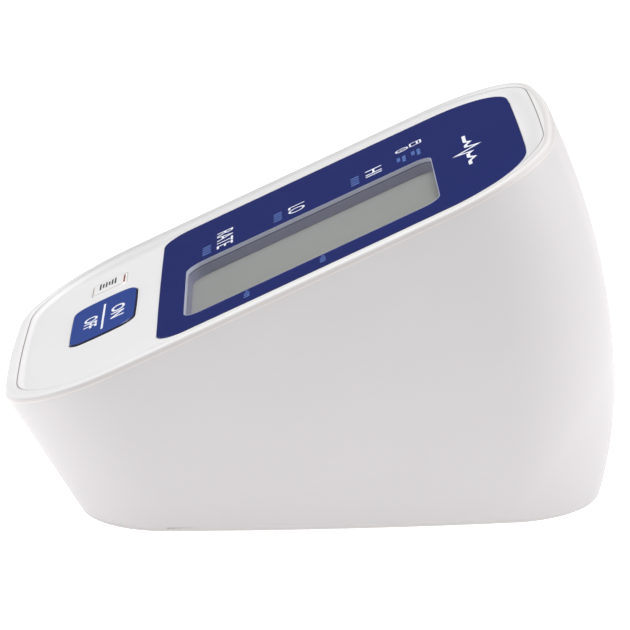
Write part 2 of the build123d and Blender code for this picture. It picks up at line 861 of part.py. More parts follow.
with BuildPart() as battery_contacts:
    for x in cell_xs:
        for wall_y in (bay_front_y, plate_rear_y):
            with BuildSketch(Plane.XZ.offset(-wall_y - contact_thickness)):
                with Locations((x, cell_axis_z)):
                    Rectangle(contact_size[0], contact_size[1])
            extrude(amount=contact_thickness)
battery_contacts.part.label = "battery_contacts"
export_step(battery_contacts.part, "parts/battery_contacts.step")

spring_run = contact_spring_length - 2 * contact_spring_wire

with BuildPart() as battery_springs:
    for index, x in enumerate(cell_xs):
        facing = 1 if index % 2 == 0 else -1
        start_y = plate_front_y if facing > 0 else plate_rear_y
        root = (x, start_y + facing * contact_spring_wire, cell_axis_z)
        with BuildLine() as coil:
            Helix(
                pitch=spring_run / contact_spring_turns,
                height=spring_run,
                radius=contact_spring_radius,
                center=root,
                direction=(0, facing, 0),
            )
        with BuildSketch(coil.line ^ 0):
            Circle(contact_spring_wire)
        sweep(path=coil.line, is_frenet=True)
battery_springs.part.label = "battery_springs"
export_step(battery_springs.part, "parts/battery_springs.step")

# ------------------------------------------------------------- pump
motor_axis_place = (pump_y, pump_z)

with BuildPart() as motor_can:
    extrude(pump_disc(motor_front_x, motor_radius), amount=motor_length, dir=(1, 0, 0))
    extrude(
        pump_disc(motor_front_x + motor_wall, motor_radius - motor_wall),
        amount=motor_length,
        dir=(1, 0, 0),
        mode=Mode.SUBTRACT,
    )
    extrude(
        pump_disc(motor_front_x, shaft_radius + shaft_fit),
        amount=motor_wall,
        dir=(1, 0, 0),
        mode=Mode.SUBTRACT,
    )
motor_can.part.label = "motor_can"
export_step(motor_can.part, "parts/motor_can.step")

with BuildPart() as motor_endcap:
    extrude(
        pump_disc(motor_rear_x - endcap_thickness, motor_radius - motor_wall),
        amount=endcap_thickness,
        dir=(1, 0, 0),
    )
    extrude(
        pump_disc(motor_rear_x - endcap_thickness, shaft_radius + shaft_fit),
        amount=bearing_depth,
        dir=(1, 0, 0),
        mode=Mode.SUBTRACT,
    )
motor_endcap.part.label = "motor_endcap"
export_step(motor_endcap.part, "parts/motor_endcap.step")

armature_x = motor_front_x + (motor_length - endcap_thickness - armature_length) / 2

with BuildPart() as motor_magnets:
    extrude(pump_disc(armature_x, magnet_radii[1]), amount=armature_length, dir=(1, 0, 0))
    extrude(
        pump_disc(armature_x, magnet_radii[0]),
        amount=armature_length,
        dir=(1, 0, 0),
        mode=Mode.SUBTRACT,
    )
    with BuildSketch(Plane.YZ.offset(armature_x)):
        with Locations(motor_axis_place):
            Rectangle(2 * motor_radius, magnet_gap_width)
    extrude(amount=armature_length, mode=Mode.SUBTRACT)
motor_magnets.part.label = "motor_magnets"
export_step(motor_magnets.part, "parts/motor_magnets.step")

# The crank pin leans from the motor axis, so the plate it carries wobbles.
hub_front_x = motor_front_x - hub_clearance - hub_length
crank_pivot_x = motor_front_x - crank_setback
crank_pivot = (crank_pivot_x, pump_y, pump_z)
crank_direction = (cos(radians(crank_lean)), 0, sin(radians(crank_lean)))
crank_plane = Plane(origin=crank_pivot, x_dir=(0, 1, 0), z_dir=crank_direction)
plate_start = plate_setback / cos(radians(crank_lean))
pin_start = crank_pin_setback / cos(radians(crank_lean))
pin_end = (hub_front_x + hub_length / 2 - crank_pivot_x) / cos(radians(crank_lean))
shaft_end_x = motor_rear_x - endcap_thickness + bearing_depth - hub_clearance

with BuildPart() as motor_rotor:
    extrude(pump_disc(hub_front_x, hub_radius), amount=hub_length, dir=(1, 0, 0))
    extrude(pump_disc(hub_front_x, shaft_radius), amount=shaft_end_x - hub_front_x, dir=(1, 0, 0))
    extrude(pump_disc(armature_x, armature_radius), amount=armature_length, dir=(1, 0, 0))
    with BuildSketch(crank_plane.offset(pin_start)):
        Circle(crank_pin_radius)
    extrude(amount=pin_end - pin_start)
motor_rotor.part.label = "motor_rotor"
export_step(motor_rotor.part, "parts/motor_rotor.step")

with BuildPart() as wobble_plate:
    with BuildSketch(crank_plane.offset(plate_start)):
        Circle(plate_radius)
        Circle(crank_pin_radius + crank_pin_fit, mode=Mode.SUBTRACT)
    extrude(amount=plate_thickness)
wobble_plate.part.label = "wobble_plate"
export_step(wobble_plate.part, "parts/wobble_plate.step")


def pump_square(x, half, corner):
    """Rounded square across the pump axis, facing +X."""
    with BuildSketch(Plane.YZ.offset(x)) as face:
        with Locations(motor_axis_place):
            RectangleRounded(2 * half, 2 * half, corner)
    return face.sketch


housing_front_x = motor_front_x - housing_length

with BuildPart() as pump_housing:
    extrude(pump_square(housing_front_x, housing_half, housing_corner), amount=housing_length, dir=(1, 0, 0))
    extrude(
        pump_disc(housing_front_x, housing_bore),
        amount=housing_length,
        dir=(1, 0, 0),
        mode=Mode.SUBTRACT,
    )
pump_housing.part.label = "pump_housing"
export_step(pump_housing.part, "parts/pump_housing.step")

diaphragm_x = housing_front_x - diaphragm_thickness

with BuildPart() as pump_diaphragm:
    extrude(
        pump_square(diaphragm_x, housing_half, housing_corner),
        amount=diaphragm_thickness,
        dir=(1, 0, 0),
    )
pump_diaphragm.part.label = "pump_diaphragm"
export_step(pump_diaphragm.part, "parts/pump_diaphragm.step")

head_x = diaphragm_x - head_length

with BuildPart() as pump_head:
    extrude(pump_square(head_x, housing_half, housing_corner), amount=head_length, dir=(1, 0, 0))
    with BuildSketch(Plane.YZ.offset(diaphragm_x)):
        with Locations(motor_axis_place):
            with PolarLocations(housing_bore / 2, head_chamber_count):
                Circle(head_chamber[0])
    extrude(amount=-head_chamber[1], mode=Mode.SUBTRACT)
    extrude(pump_disc(head_x, nipple_radius), amount=nipple_length, dir=(-1, 0, 0))
    extrude(
        pump_disc(head_x - nipple_length, nipple_bore),
        amount=nipple_length + head_length,
        dir=(1, 0, 0),
        mode=Mode.SUBTRACT,
    )
pump_head.part.label = "pump_head"
export_step(pump_head.part, "parts/pump_head.step")

with BuildPart() as pump_foam:
    extrude(pump_disc(saddle_x - foam_length / 2, foam_radius), amount=foam_length, dir=(1, 0, 0))
    extrude(
        pump_disc(saddle_x - foam_length / 2, motor_radius),
        amount=foam_length,
        dir=(1, 0, 0),
        mode=Mode.SUBTRACT,
    )
pump_foam.part.label = "pump_foam"
export_step(pump_foam.part, "parts/pump_foam.step")

# ------------------------------------------------------------- air jack in the left wall
jack_rear_x = jack_front_x + jack_length

with BuildPart() as air_jack:
    extrude(pump_disc(jack_front_x, jack_barrel_radius), amount=jack_length, dir=(1, 0, 0))
    extrude(
        pump_disc(jack_flange_x, jack_flange_radius),
        amount=jack_flange_thickness,
        dir=(1, 0, 0),
    )
    extrude(pump_disc(jack_rear_x, nipple_radius), amount=nipple_length, dir=(1, 0, 0))
    jack_bore = pump_disc(jack_front_x, jack_bore_radius)
    extrude(jack_bore, amount=jack_bore_depth, dir=(1, 0, 0), mode=Mode.SUBTRACT)
    extrude(
        pump_disc(jack_front_x, nipple_bore),
        amount=jack_length + nipple_length,
        dir=(1, 0, 0),
        mode=Mode.SUBTRACT,
    )
air_jack.part.label = "air_jack"
export_step(air_jack.part, "parts/air_jack.step")

# ------------------------------------------------------------- air tee between pump, jack, valve and sensor
tee_reach = tee_half + nipple_length
tee_centre_x = head_x - nipple_length - nipple_spacing - tee_reach
tee_centre = (tee_centre_x, pump_y, pump_z)
tee_directions = ((1, 0, 0), (-1, 0, 0), (0, -1, 0), (0, 0, 1))

with BuildPart() as air_tee:
    with Locations(tee_centre):
        Box(2 * tee_half, 2 * tee_half, 2 * tee_half)
    for radius, mode in ((nipple_radius, Mode.ADD), (nipple_bore, Mode.SUBTRACT)):
        for direction in tee_directions:
            with BuildSketch(Plane(origin=tee_centre, z_dir=direction)):
                Circle(radius)
            extrude(amount=tee_reach, mode=mode)
air_tee.part.label = "air_tee"
export_step(air_tee.part, "parts/air_tee.step")

# ------------------------------------------------------------- pressure sensor on the circuit board
sensor_bend = (tee_centre_x, pump_y, sensor_bend_z)
sensor_s = panel.to_local_coords(Vector(sensor_bend)).Y
sensor_place = (tee_centre_x, sensor_s)
sensor_bottom = board_bottom - sensor_size[2]

with BuildPart() as pressure_sensor:
    extrude(
        panel_rectangle(sensor_bottom, sensor_place, sensor_size, small_corner),
        amount=sensor_size[2],
        dir=panel_normal,
    )
    extrude(
        panel_discs(sensor_bottom - nipple_length, [sensor_place], nipple_radius),
        amount=nipple_length,
        dir=panel_normal,
    )
    extrude(
        panel_discs(sensor_bottom - nipple_length, [sensor_place], nipple_bore),
        amount=nipple_length + sensor_bore_depth,
        dir=panel_normal,
        mode=Mode.SUBTRACT,
    )
pressure_sensor.part.label = "pressure_sensor"
export_step(pressure_sensor.part, "parts/pressure_sensor.step")

# ------------------------------------------------------------- exhaust valve
valve_base_z = bay_top_z + valve_foot_gap
valve_top_z = valve_base_z + valve_size[2]
valve_place = (tee_centre_x, valve_y)
seat_z = valve_top_z - valve_wall - plunger_tip[1]
plunger_top_z = seat_z - seat_gap - plunger_travel
plunger_shoulder_z = plunger_top_z - plunger_tip[1]


def valve_discs(level, radius):
    """Disc across the valve axis."""
    return table_discs(level, [valve_place], radius)


with BuildPart() as valve_frame:
    with BuildSketch(Plane.XZ.offset(-valve_y - valve_size[1] / 2)):
        with Locations((tee_centre_x, (valve_base_z + valve_top_z) / 2)):
            Rectangle(valve_size[0], valve_size[2])
            Rectangle(valve_size[0] - 2 * valve_wall, valve_size[2] - 2 * valve_wall, mode=Mode.SUBTRACT)
    extrude(amount=valve_size[1])
    extrude(
        valve_discs(valve_top_z - valve_wall, coil_bore),
        amount=valve_wall,
        dir=(0, 0, 1),
        mode=Mode.SUBTRACT,
    )
valve_frame.part.label = "valve_frame"
export_step(valve_frame.part, "parts/valve_frame.step")

coil_base_z = valve_base_z + valve_wall
coil_height = valve_size[2] - 2 * valve_wall

with BuildPart() as valve_coil:
    extrude(valve_discs(coil_base_z, coil_radius), amount=coil_height, dir=(0, 0, 1))
    extrude(valve_discs(coil_base_z, coil_bore), amount=coil_height, dir=(0, 0, 1), mode=Mode.SUBTRACT)
valve_coil.part.label = "valve_coil"
export_step(valve_coil.part, "parts/valve_coil.step")

with BuildPart() as valve_core:
    extrude(valve_discs(seat_z, plunger_radius), amount=valve_top_z - seat_z, dir=(0, 0, 1))
    extrude(
        valve_discs(valve_top_z, nipple_radius),
        amount=valve_pipe_length,
        dir=(0, 0, 1),
    )
    extrude(
        valve_discs(seat_z, nipple_bore),
        amount=valve_top_z + valve_pipe_length - seat_z,
        dir=(0, 0, 1),
        mode=Mode.SUBTRACT,
    )
valve_core.part.label = "valve_core"
export_step(valve_core.part, "parts/valve_core.step")

with BuildPart() as valve_plunger:
    extrude(
        valve_discs(plunger_shoulder_z - plunger_length, plunger_radius),
        amount=plunger_length,
        dir=(0, 0, 1),
    )
    extrude(valve_discs(plunger_shoulder_z, plunger_tip[0]), amount=plunger_tip[1], dir=(0, 0, 1))
valve_plunger.part.label = "valve_plunger"
export_step(valve_plunger.part, "parts/valve_plunger.step")

valve_spring_run = seat_z - plunger_shoulder_z - 2 * valve_spring_wire

with BuildPart() as valve_spring:
    spring_root = (tee_centre_x, valve_y, plunger_shoulder_z + valve_spring_wire)
    with BuildLine(Plane(origin=spring_root)) as coil:
        Helix(
            pitch=valve_spring_run / valve_spring_turns,
            height=valve_spring_run,
            radius=valve_spring_radius,
        )
    with BuildSketch(coil.line ^ 0):
        Circle(valve_spring_wire)
    sweep(path=coil.line, is_frenet=True)
valve_spring.part.label = "valve_spring"
export_step(valve_spring.part, "parts/valve_spring.step")

# ------------------------------------------------------------- silicone air tubes
tee_face = tee_half + tube_gap
valve_turn_y = pump_y - tee_reach - tube_bend
tube_runs = (
    ((head_x - tube_gap, pump_y, pump_z), (tee_centre_x + tee_face, pump_y, pump_z)),
    ((tee_centre_x - tee_face, pump_y, pump_z), (jack_rear_x + tube_gap, pump_y, pump_z)),
    (
        (tee_centre_x, pump_y - tee_face, pump_z),
        (tee_centre_x, valve_turn_y, pump_z),
        (tee_centre_x, valve_turn_y, valve_tube_top_z),
        (tee_centre_x, valve_y, valve_tube_top_z),
        (tee_centre_x, valve_y, valve_top_z + tube_gap),
    ),
    (
        (tee_centre_x, pump_y, pump_z + tee_face),
        sensor_bend,
        panel.from_local_coords((tee_centre_x, sensor_s, sensor_bottom - tube_gap)),
    ),
)

with BuildPart() as air_tubes:
    for run in tube_runs:
        with BuildLine() as route:
            if len(run) > 2:
                FilletPolyline(*run, radius=tube_bend)
            else:
                Line(*run)
        with BuildSketch(route.line ^ 0):
            Circle(nipple_radius + tube_wall)
            Circle(nipple_radius, mode=Mode.SUBTRACT)
        sweep(path=route.line)
air_tubes.part.label = "air_tubes"
export_step(air_tubes.part, "parts/air_tubes.step")

# ------------------------------------------------------------- power socket in the rear wall
with BuildPart() as power_socket:
    with BuildSketch(Plane.XZ.offset(-power_front_y)):
        with Locations((power_x, power_z)):
            Rectangle(power_body[0], power_body[2])
    extrude(amount=power_body[1])
    extrude(power_disc(power_face_y, power_barrel_radius), amount=power_barrel_length, dir=(0, -1, 0))
    extrude(
        power_disc(power_face_y, power_bore_radius),
        amount=power_bore_depth,
        dir=(0, -1, 0),
        mode=Mode.SUBTRACT,
    )
power_socket.part.label = "power_socket"
export_step(power_socket.part, "parts/power_socket.step")

with BuildPart() as power_pin:
    extrude(
        power_disc(power_face_y - power_bore_depth, power_pin_radius),
        amount=power_bore_depth - power_pin_recess,
        dir=(0, 1, 0),
    )
power_pin.part.label = "power_pin"
export_step(power_pin.part, "parts/power_pin.step")
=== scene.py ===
import math

import bpy
from mathutils import Matrix, Vector


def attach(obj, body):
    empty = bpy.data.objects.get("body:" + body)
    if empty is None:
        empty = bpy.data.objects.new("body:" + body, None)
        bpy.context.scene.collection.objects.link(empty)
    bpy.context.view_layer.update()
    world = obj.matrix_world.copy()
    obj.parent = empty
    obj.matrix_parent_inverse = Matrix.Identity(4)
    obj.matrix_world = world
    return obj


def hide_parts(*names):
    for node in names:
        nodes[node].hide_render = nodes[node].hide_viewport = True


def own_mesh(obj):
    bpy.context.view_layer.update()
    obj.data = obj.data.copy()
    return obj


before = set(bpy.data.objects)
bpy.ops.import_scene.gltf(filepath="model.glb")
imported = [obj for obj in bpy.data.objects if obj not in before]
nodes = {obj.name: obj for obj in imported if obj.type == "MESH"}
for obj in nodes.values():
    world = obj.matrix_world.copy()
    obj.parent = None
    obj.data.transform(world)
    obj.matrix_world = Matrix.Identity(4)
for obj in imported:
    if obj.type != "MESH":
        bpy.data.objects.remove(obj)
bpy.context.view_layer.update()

MM = 0.001

# ------------------------------------------------------------- the control panel, in millimetres
PANEL_SLOPE = math.radians(25.36)
PANEL_ORIGIN = Vector((0.0, -64.85, 24.92)) * MM
ACROSS = Vector((1.0, 0.0, 0.0))
UP_SLOPE = Vector((0.0, math.cos(PANEL_SLOPE), math.sin(PANEL_SLOPE)))
OUTWARD = Vector((0.0, -math.sin(PANEL_SLOPE), math.cos(PANEL_SLOPE)))
UPWARD = Vector((0.0, 0.0, 1.0))
LENS_LEVEL = 0.05  # levels of the faces that carry print
START_LEVEL = 0.35
MEMORY_LEVEL = 0.1
START_SIDE_SHADE_LEVELS = (0.2, 0.3)  # painted shade: the start button's sides darken below its bevel
PRINT_THICKNESS = 0.02
WINDOW_CENTRE = (12.97, 70.68)
WINDOW_SIZE = (42.6, 58.2)
WINDOW_CORNER = 4.0
WINDOW_EDGE = (0.14, 0.1, -0.73)  # cut edge of the window: width, top level, bottom level
WINDOW_LINING = (0.22, -0.95, -3.0)  # wall, top level, bottom level

# seam of the case halves: half widths at the front corners, amidships and at the rear corners,
# its front and rear ends, how far these bow outwards, and its front and rear corner radii
SEAM_HALF_WIDTHS = (51.1, 51.5, 50.4)
SEAM_REACH = (-0.85, 127.4)
SEAM_BOWS = (2.6, 5.6)
SEAM_CORNERS = (27.0, 26.0)
SEAM_BAND = (-0.03, -0.3, -0.6)  # how far in, top level, bottom level
# fascia rise: how far in from the seam, and level, of each row of points
RISE_ROWS = (
    (1.7, 0.885), (2.3, 0.885), (2.9, 0.82), (3.5, 0.68), (4.1, 0.48),
    (4.7, 0.27), (5.3, 0.09), (5.9, -0.04), (6.3, -0.085),
)
RISE_FRONT_SHARE = 0.4  # how much narrower the rise is at the front
RISE_STEPS = (32, 40)  # points on each side and each corner
# hairline seam in the rise, whose brown is painted shade of the gap between fascia and rim, given
# as the case seam is
HAIRLINE_HALF_WIDTHS = (47.9, 48.3, 47.2)
HAIRLINE_REACH = (2.4, 124.75)
HAIRLINE_BOWS = (1.6, 1.2)
HAIRLINE_CORNERS = (24.0, 27.0)
HAIRLINE_WIDTH = 0.16
HAIRLINE_LIFT = 0.04  # above the rise, so that it isn't buried in it
SEAM_LINE_STEPS = (150, 100)  # dense points on the seam, to measure from

# places between which painted shade changes the white finishes' tone
FAR_PAINTED_SHADE_PLACES = (-49.5, -39.5)  # across: painted shade, the panel is a little greyer along its far side
HAIRLINE_PAINTED_FADE_PLACES = (-47.0, -22.0)  # across: painted shade, the hairline fades into the far side's grey
CREST_PAINTED_SHADE_PLACES = (118.0, 92.0)  # up the slope: painted shade, the rim is greyer at the rear
FLANK_PAINTED_SHADE_LEVELS = (0.3, 0.7)  # outwards: painted shade, the rim's flank is greyer than its crest
BASE_PAINTED_SHADE_HEIGHTS = (0.9, 1.8)  # painted shade: the case is greyer at its lowest edge
REAR_PAINTED_SHADE_DIRECTION = Vector((0.0, 0.8, -0.6))  # and painted shade, a little greyer low at the rear
REAR_PAINTED_SHADE_PLACES = (31.0, 45.0)

# ------------------------------------------------------------- camera, lights and floor
CAMERA_PLACE = Vector((726.75, -13.73, 227.32)) * MM
CAMERA_AIM = Vector((0.0, 0.35, 34.32)) * MM
CAMERA_LENS = 198.87
CAMERA_SENSOR = 36.0
CAMERA_CLIP = (0.05, 50.0)
FLOOR_SIZE = 8.0
FLOOR_COLOUR = (0.6, 0.6, 0.6, 1.0)
FLOOR_ROUGHNESS = 0.9
FLOOR_GLOW_REACH = (0.12, 0.5)  # metres from the middle between which the glow fades
FLOOR_GLOW = (1.15, 0.66)
WHITE = (1.0, 1.0, 1.0, 1.0)
SKY_SPAN = (0.3, 0.95)  # heights on the sky between which it brightens
SKY_STRENGTHS = (0.04, 0.8)
# name, place, aim, width, height in metres, watts
LIGHTS = (
    ("light_front", (0.0, -1.2, 0.6), (0.0, 0.0, 0.05), 0.9, 0.9, 3.3),
    ("light_rear", (0.0, 1.2, 0.6), (0.0, 0.0, 0.05), 0.9, 0.9, 10.0),
    ("light_top", (0.0, 0.0, 0.95), (0.0, 0.0, 0.0), 0.6, 0.6, 5.2),
)


def linear(value):
    """An 8-bit display value as scene-linear light."""
    share = value / 255
    if share <= 0.04045:
        return share / 12.92
    return ((share + 0.055) / 1.055) ** 2.4


def rgb(red, green, blue):
    """A display colour as a linear RGBA tuple."""
    return (linear(red), linear(green), linear(blue), 1.0)


def shaded(colour, factor):
    """A colour made lighter or darker by a factor."""
    return (*(min(1.0, part * factor) for part in colour[:3]), 1.0)


def panel_point(x, s, level):
    """World place of a point on the panel, from millimetres across, up the slope and outwards."""
    return PANEL_ORIGIN + (ACROSS * x + UP_SLOPE * s + OUTWARD * level) * MM


def panel_matrix(x, s, level):
    """Local axes that lie in the panel: X across, Y up the slope, Z outwards."""
    axes = Matrix((ACROSS, UP_SLOPE, OUTWARD)).transposed().to_4x4()
    return Matrix.Translation(panel_point(x, s, level)) @ axes


# ------------------------------------------------------------- materials
MOULDED_GRAIN = {"scale": 1500.0, "height": 0.01}  # grain of the case plastics
GRAIN_DETAIL = 3.0
GRAIN_BUMP = 0.25
TONE_NOISE = (40.0, 2.0)  # scale and detail of the slightly uneven tone
COAT_ROUGHNESS = 0.15
CASE_ROUGHNESS = 0.5
CASE_SPECULAR = 0.2
RIM_ROUGHNESS = 0.45
RIM_SPECULAR = 0.35
FASCIA_ROUGHNESS = 0.42
LENS_ROUGHNESS = 0.07
LENS_IOR = 1.49
LENS_CLEAR_ALPHA = 0.06
LENS_CLEAR_COLOUR = (200, 205, 205)
INK_NOISE = (30.0, 2.0)
INK_COLOURS = ((34, 45, 112), (38, 49, 118))
BUTTON_NOISE = (60.0, 2.0)
BUTTON_COLOURS = ((43, 69, 146), (47, 74, 152))
# painted shade of the button's sides
BUTTON_SIDE_SHADE_COLOUR = (15, 19, 52)
BUTTON_SPECULAR = 0.3
BUTTON_ROUGHNESS = 0.3
BUTTON_ROUGHNESS_SPREAD = 0.04
COPPER_COLOUR = (184, 110, 60)
COPPER_ROUGHNESS = 0.35
COPPER_TURNS = 1200.0  # scale of the winding's bands
COPPER_TURN_HEIGHT = 0.1


def plain_material(name):
    """New node material; returns it with its tree and Principled shader."""
    material = bpy.data.materials.new(name)
    material.use_nodes = True
    tree = material.node_tree
    return material, tree, tree.nodes["Principled BSDF"]


def noise_field(tree, scale, detail):
    """Noise over the object's own coordinates."""
    where = tree.nodes.new("ShaderNodeTexCoord")
    noise = tree.nodes.new("ShaderNodeTexNoise")
    noise.inputs["Scale"].default_value = scale
    noise.inputs["Detail"].default_value = detail
    tree.links.new(where.outputs["Object"], noise.inputs["Vector"])
    return noise.outputs["Fac"]


def mixed_colour(tree, factor, first, second):
    """Colour between two others, each a colour or another node's output."""
    mix = tree.nodes.new("ShaderNodeMix")
    mix.data_type = "RGBA"
    tree.links.new(factor, mix.inputs["Factor"])
    for socket, value in ((mix.inputs["A"], first), (mix.inputs["B"], second)):
        if isinstance(value, tuple):
            socket.default_value = value
        else:
            tree.links.new(value, socket)
    return mix.outputs["Result"]


def add_grain(tree, shader, scale, height, roughness, spread):
    """Fine moulded grain: a low bump and a small change of roughness."""
    grain = noise_field(tree, scale, GRAIN_DETAIL)
    bump = tree.nodes.new("ShaderNodeBump")
    bump.inputs["Strength"].default_value = GRAIN_BUMP
    bump.inputs["Distance"].default_value = height * MM
    tree.links.new(grain, bump.inputs["Height"])
    tree.links.new(bump.outputs["Normal"], shader.inputs["Normal"])
    span = tree.nodes.new("ShaderNodeMapRange")
    span.inputs["To Min"].default_value = roughness - spread
    span.inputs["To Max"].default_value = roughness + spread
    tree.links.new(grain, span.inputs["Value"])
    tree.links.new(span.outputs["Result"], shader.inputs["Roughness"])


def solid_finish(
    name, colour, roughness, metal=0.0, coat=0.0, scale=900.0, height=0.02, spread=0.05, uneven=0.02
):
    """One material with fine grain and a slightly uneven tone.

    scale and height are the grain's, the height in millimetres; spread is that of the roughness.
    """
    material, tree, shader = plain_material(name)
    darker, lighter = shaded(colour, 1 - uneven), shaded(colour, 1 + uneven)
    tone = mixed_colour(tree, noise_field(tree, *TONE_NOISE), darker, lighter)
    tree.links.new(tone, shader.inputs["Base Color"])
    shader.inputs["Metallic"].default_value = metal
    shader.inputs["Coat Weight"].default_value = coat
    shader.inputs["Coat Roughness"].default_value = COAT_ROUGHNESS
    add_grain(tree, shader, scale, height, roughness, spread)
    return material


def math_node(tree, operation, *values):
    """Math node fed by numbers or other nodes' outputs."""
    node = tree.nodes.new("ShaderNodeMath")
    node.operation = operation
    for socket, value in zip(node.inputs, values):
        if isinstance(value, (int, float)):
            socket.default_value = value
        else:
            tree.links.new(value, socket)
    return node.outputs["Value"]


def reach_along(tree, direction):
    """Distance from the origin along a direction, over the object's coordinates, in metres."""
    where = tree.nodes.new("ShaderNodeTexCoord")
    dot = tree.nodes.new("ShaderNodeVectorMath")
    dot.operation = "DOT_PRODUCT"
    tree.links.new(where.outputs["Object"], dot.inputs[0])
    dot.inputs[1].default_value = direction
    return dot.outputs["Value"]


def panel_distance(tree, direction, place):
    """Distance along one panel axis from a place on it, in metres."""
    offset = (PANEL_ORIGIN + direction * place * MM).dot(direction)
    return math_node(tree, "SUBTRACT", reach_along(tree, direction), offset)


def ramp(tree, value, places):
    """0 to 1 as a distance goes from one place to another, in millimetres."""
    span = tree.nodes.new("ShaderNodeMapRange")
    for socket_name, place in zip(("From Min", "From Max"), places):
        span.inputs[socket_name].default_value = place * MM
    tree.links.new(value, span.inputs["Value"])
    return span.outputs["Result"]


def lens_finish():
    """Clear lens printed blue around its rounded window."""
    material, tree, shader = plain_material("lens_print")
    shader.inputs["Roughness"].default_value = LENS_ROUGHNESS
    shader.inputs["IOR"].default_value = LENS_IOR
    reach = [(size / 2 - WINDOW_CORNER) * MM for size in WINDOW_SIZE]
    beyond = []
    for direction, centre, half in zip((ACROSS, UP_SLOPE), WINDOW_CENTRE, reach):
        distance = math_node(tree, "ABSOLUTE", panel_distance(tree, direction, centre))
        beyond.append(math_node(tree, "SUBTRACT", distance, half))
    outside = [math_node(tree, "MAXIMUM", value, 0.0) for value in beyond]
    squares = [math_node(tree, "MULTIPLY", value, value) for value in outside]
    corner = math_node(tree, "SQRT", math_node(tree, "ADD", *squares))
    inside = math_node(tree, "MINIMUM", math_node(tree, "MAXIMUM", *beyond), 0.0)
    edge = math_node(tree, "ADD", corner, inside)
    printed = math_node(tree, "GREATER_THAN", edge, WINDOW_CORNER * MM)
    dark_ink, light_ink = (rgb(*colour) for colour in INK_COLOURS)
    ink = mixed_colour(tree, noise_field(tree, *INK_NOISE), dark_ink, light_ink)
    clear = rgb(*LENS_CLEAR_COLOUR)
    tree.links.new(mixed_colour(tree, printed, clear, ink), shader.inputs["Base Color"])
    alpha = tree.nodes.new("ShaderNodeMapRange")
    alpha.inputs["To Min"].default_value = LENS_CLEAR_ALPHA
    tree.links.new(printed, alpha.inputs["Value"])
    tree.links.new(alpha.outputs["Result"], shader.inputs["Alpha"])
    return material


def button_finish():
    """Blue button: royal blue on top, with painted shade darker down its sides."""
    material, tree, shader = plain_material("button_blue")
    height = ramp(tree, panel_distance(tree, OUTWARD, 0.0), START_SIDE_SHADE_LEVELS)
    dark_blue, light_blue = (rgb(*colour) for colour in BUTTON_COLOURS)
    top = mixed_colour(tree, noise_field(tree, *BUTTON_NOISE), dark_blue, light_blue)
    tone = mixed_colour(tree, height, rgb(*BUTTON_SIDE_SHADE_COLOUR), top)
    tree.links.new(tone, shader.inputs["Base Color"])
    shader.inputs["Specular IOR Level"].default_value = BUTTON_SPECULAR
    finish = {"roughness": BUTTON_ROUGHNESS, "spread": BUTTON_ROUGHNESS_SPREAD}
    add_grain(tree, shader, **MOULDED_GRAIN, **finish)
    return material


def graded_finish(name, colour, roughness, grades, specular=0.5):
    """Case plastic whose colour changes along the panel's axes, as painted shade.

    Each grade is a direction, two places and the colour before the first of them.
    """
    material = solid_finish(name, colour, roughness, **MOULDED_GRAIN)
    tree = material.node_tree
    shader = tree.nodes["Principled BSDF"]
    shader.inputs["Specular IOR Level"].default_value = specular
    tone = shader.inputs["Base Color"].links[0].from_socket
    for direction, places, before in grades:
        share = ramp(tree, panel_distance(tree, direction, 0.0), places)
        tone = mixed_colour(tree, share, before, tone)
    tree.links.new(tone, shader.inputs["Base Color"])
    return material


def case_finish():
    """Case plastic, painted greyer than the rim's white for its side walls' shade, and greyer still
    at its lowest edge and low at the rear.
    """
    # painted shade: the rim's white plastic, made greyer for the shade on the side walls
    material = graded_finish("case_white", rgb(200, 197, 198), CASE_ROUGHNESS, [], CASE_SPECULAR)
    tree = material.node_tree
    base_colour = tree.nodes["Principled BSDF"].inputs["Base Color"]
    tone = base_colour.links[0].from_socket
    # painted shade: a little greyer low at the rear
    rear = ramp(tree, reach_along(tree, REAR_PAINTED_SHADE_DIRECTION), REAR_PAINTED_SHADE_PLACES)
    tone = mixed_colour(tree, rear, tone, rgb(183, 180, 181))
    # painted shade: greyer at the lowest edge, next to the floor
    above_edge = ramp(tree, reach_along(tree, UPWARD), BASE_PAINTED_SHADE_HEIGHTS)
    tree.links.new(mixed_colour(tree, above_edge, rgb(176, 173, 172), tone), base_colour)
    return material


def wound_finish():
    """Enamelled copper winding: fine turns around the valve."""
    material, tree, shader = plain_material("copper_winding")
    shader.inputs["Base Color"].default_value = rgb(*COPPER_COLOUR)
    shader.inputs["Metallic"].default_value = 1.0
    shader.inputs["Roughness"].default_value = COPPER_ROUGHNESS
    where = tree.nodes.new("ShaderNodeTexCoord")
    wave = tree.nodes.new("ShaderNodeTexWave")
    wave.bands_direction = "Z"
    wave.inputs["Scale"].default_value = COPPER_TURNS
    tree.links.new(where.outputs["Object"], wave.inputs["Vector"])
    bump = tree.nodes.new("ShaderNodeBump")
    bump.inputs["Distance"].default_value = COPPER_TURN_HEIGHT * MM
    tree.links.new(wave.outputs["Fac"], bump.inputs["Height"])
    tree.links.new(bump.outputs["Normal"], shader.inputs["Normal"])
    return material


# painted shade: changes of tone along the panel
far_painted_shade = (ACROSS, FAR_PAINTED_SHADE_PLACES, rgb(213, 212, 213))
flank_painted_shade = (OUTWARD, FLANK_PAINTED_SHADE_LEVELS, rgb(206, 202, 202))
crest_painted_shade = (UP_SLOPE, CREST_PAINTED_SHADE_PLACES, rgb(221, 219, 218))
hairline_painted_fade = (ACROSS, HAIRLINE_PAINTED_FADE_PLACES, rgb(212, 211, 211))

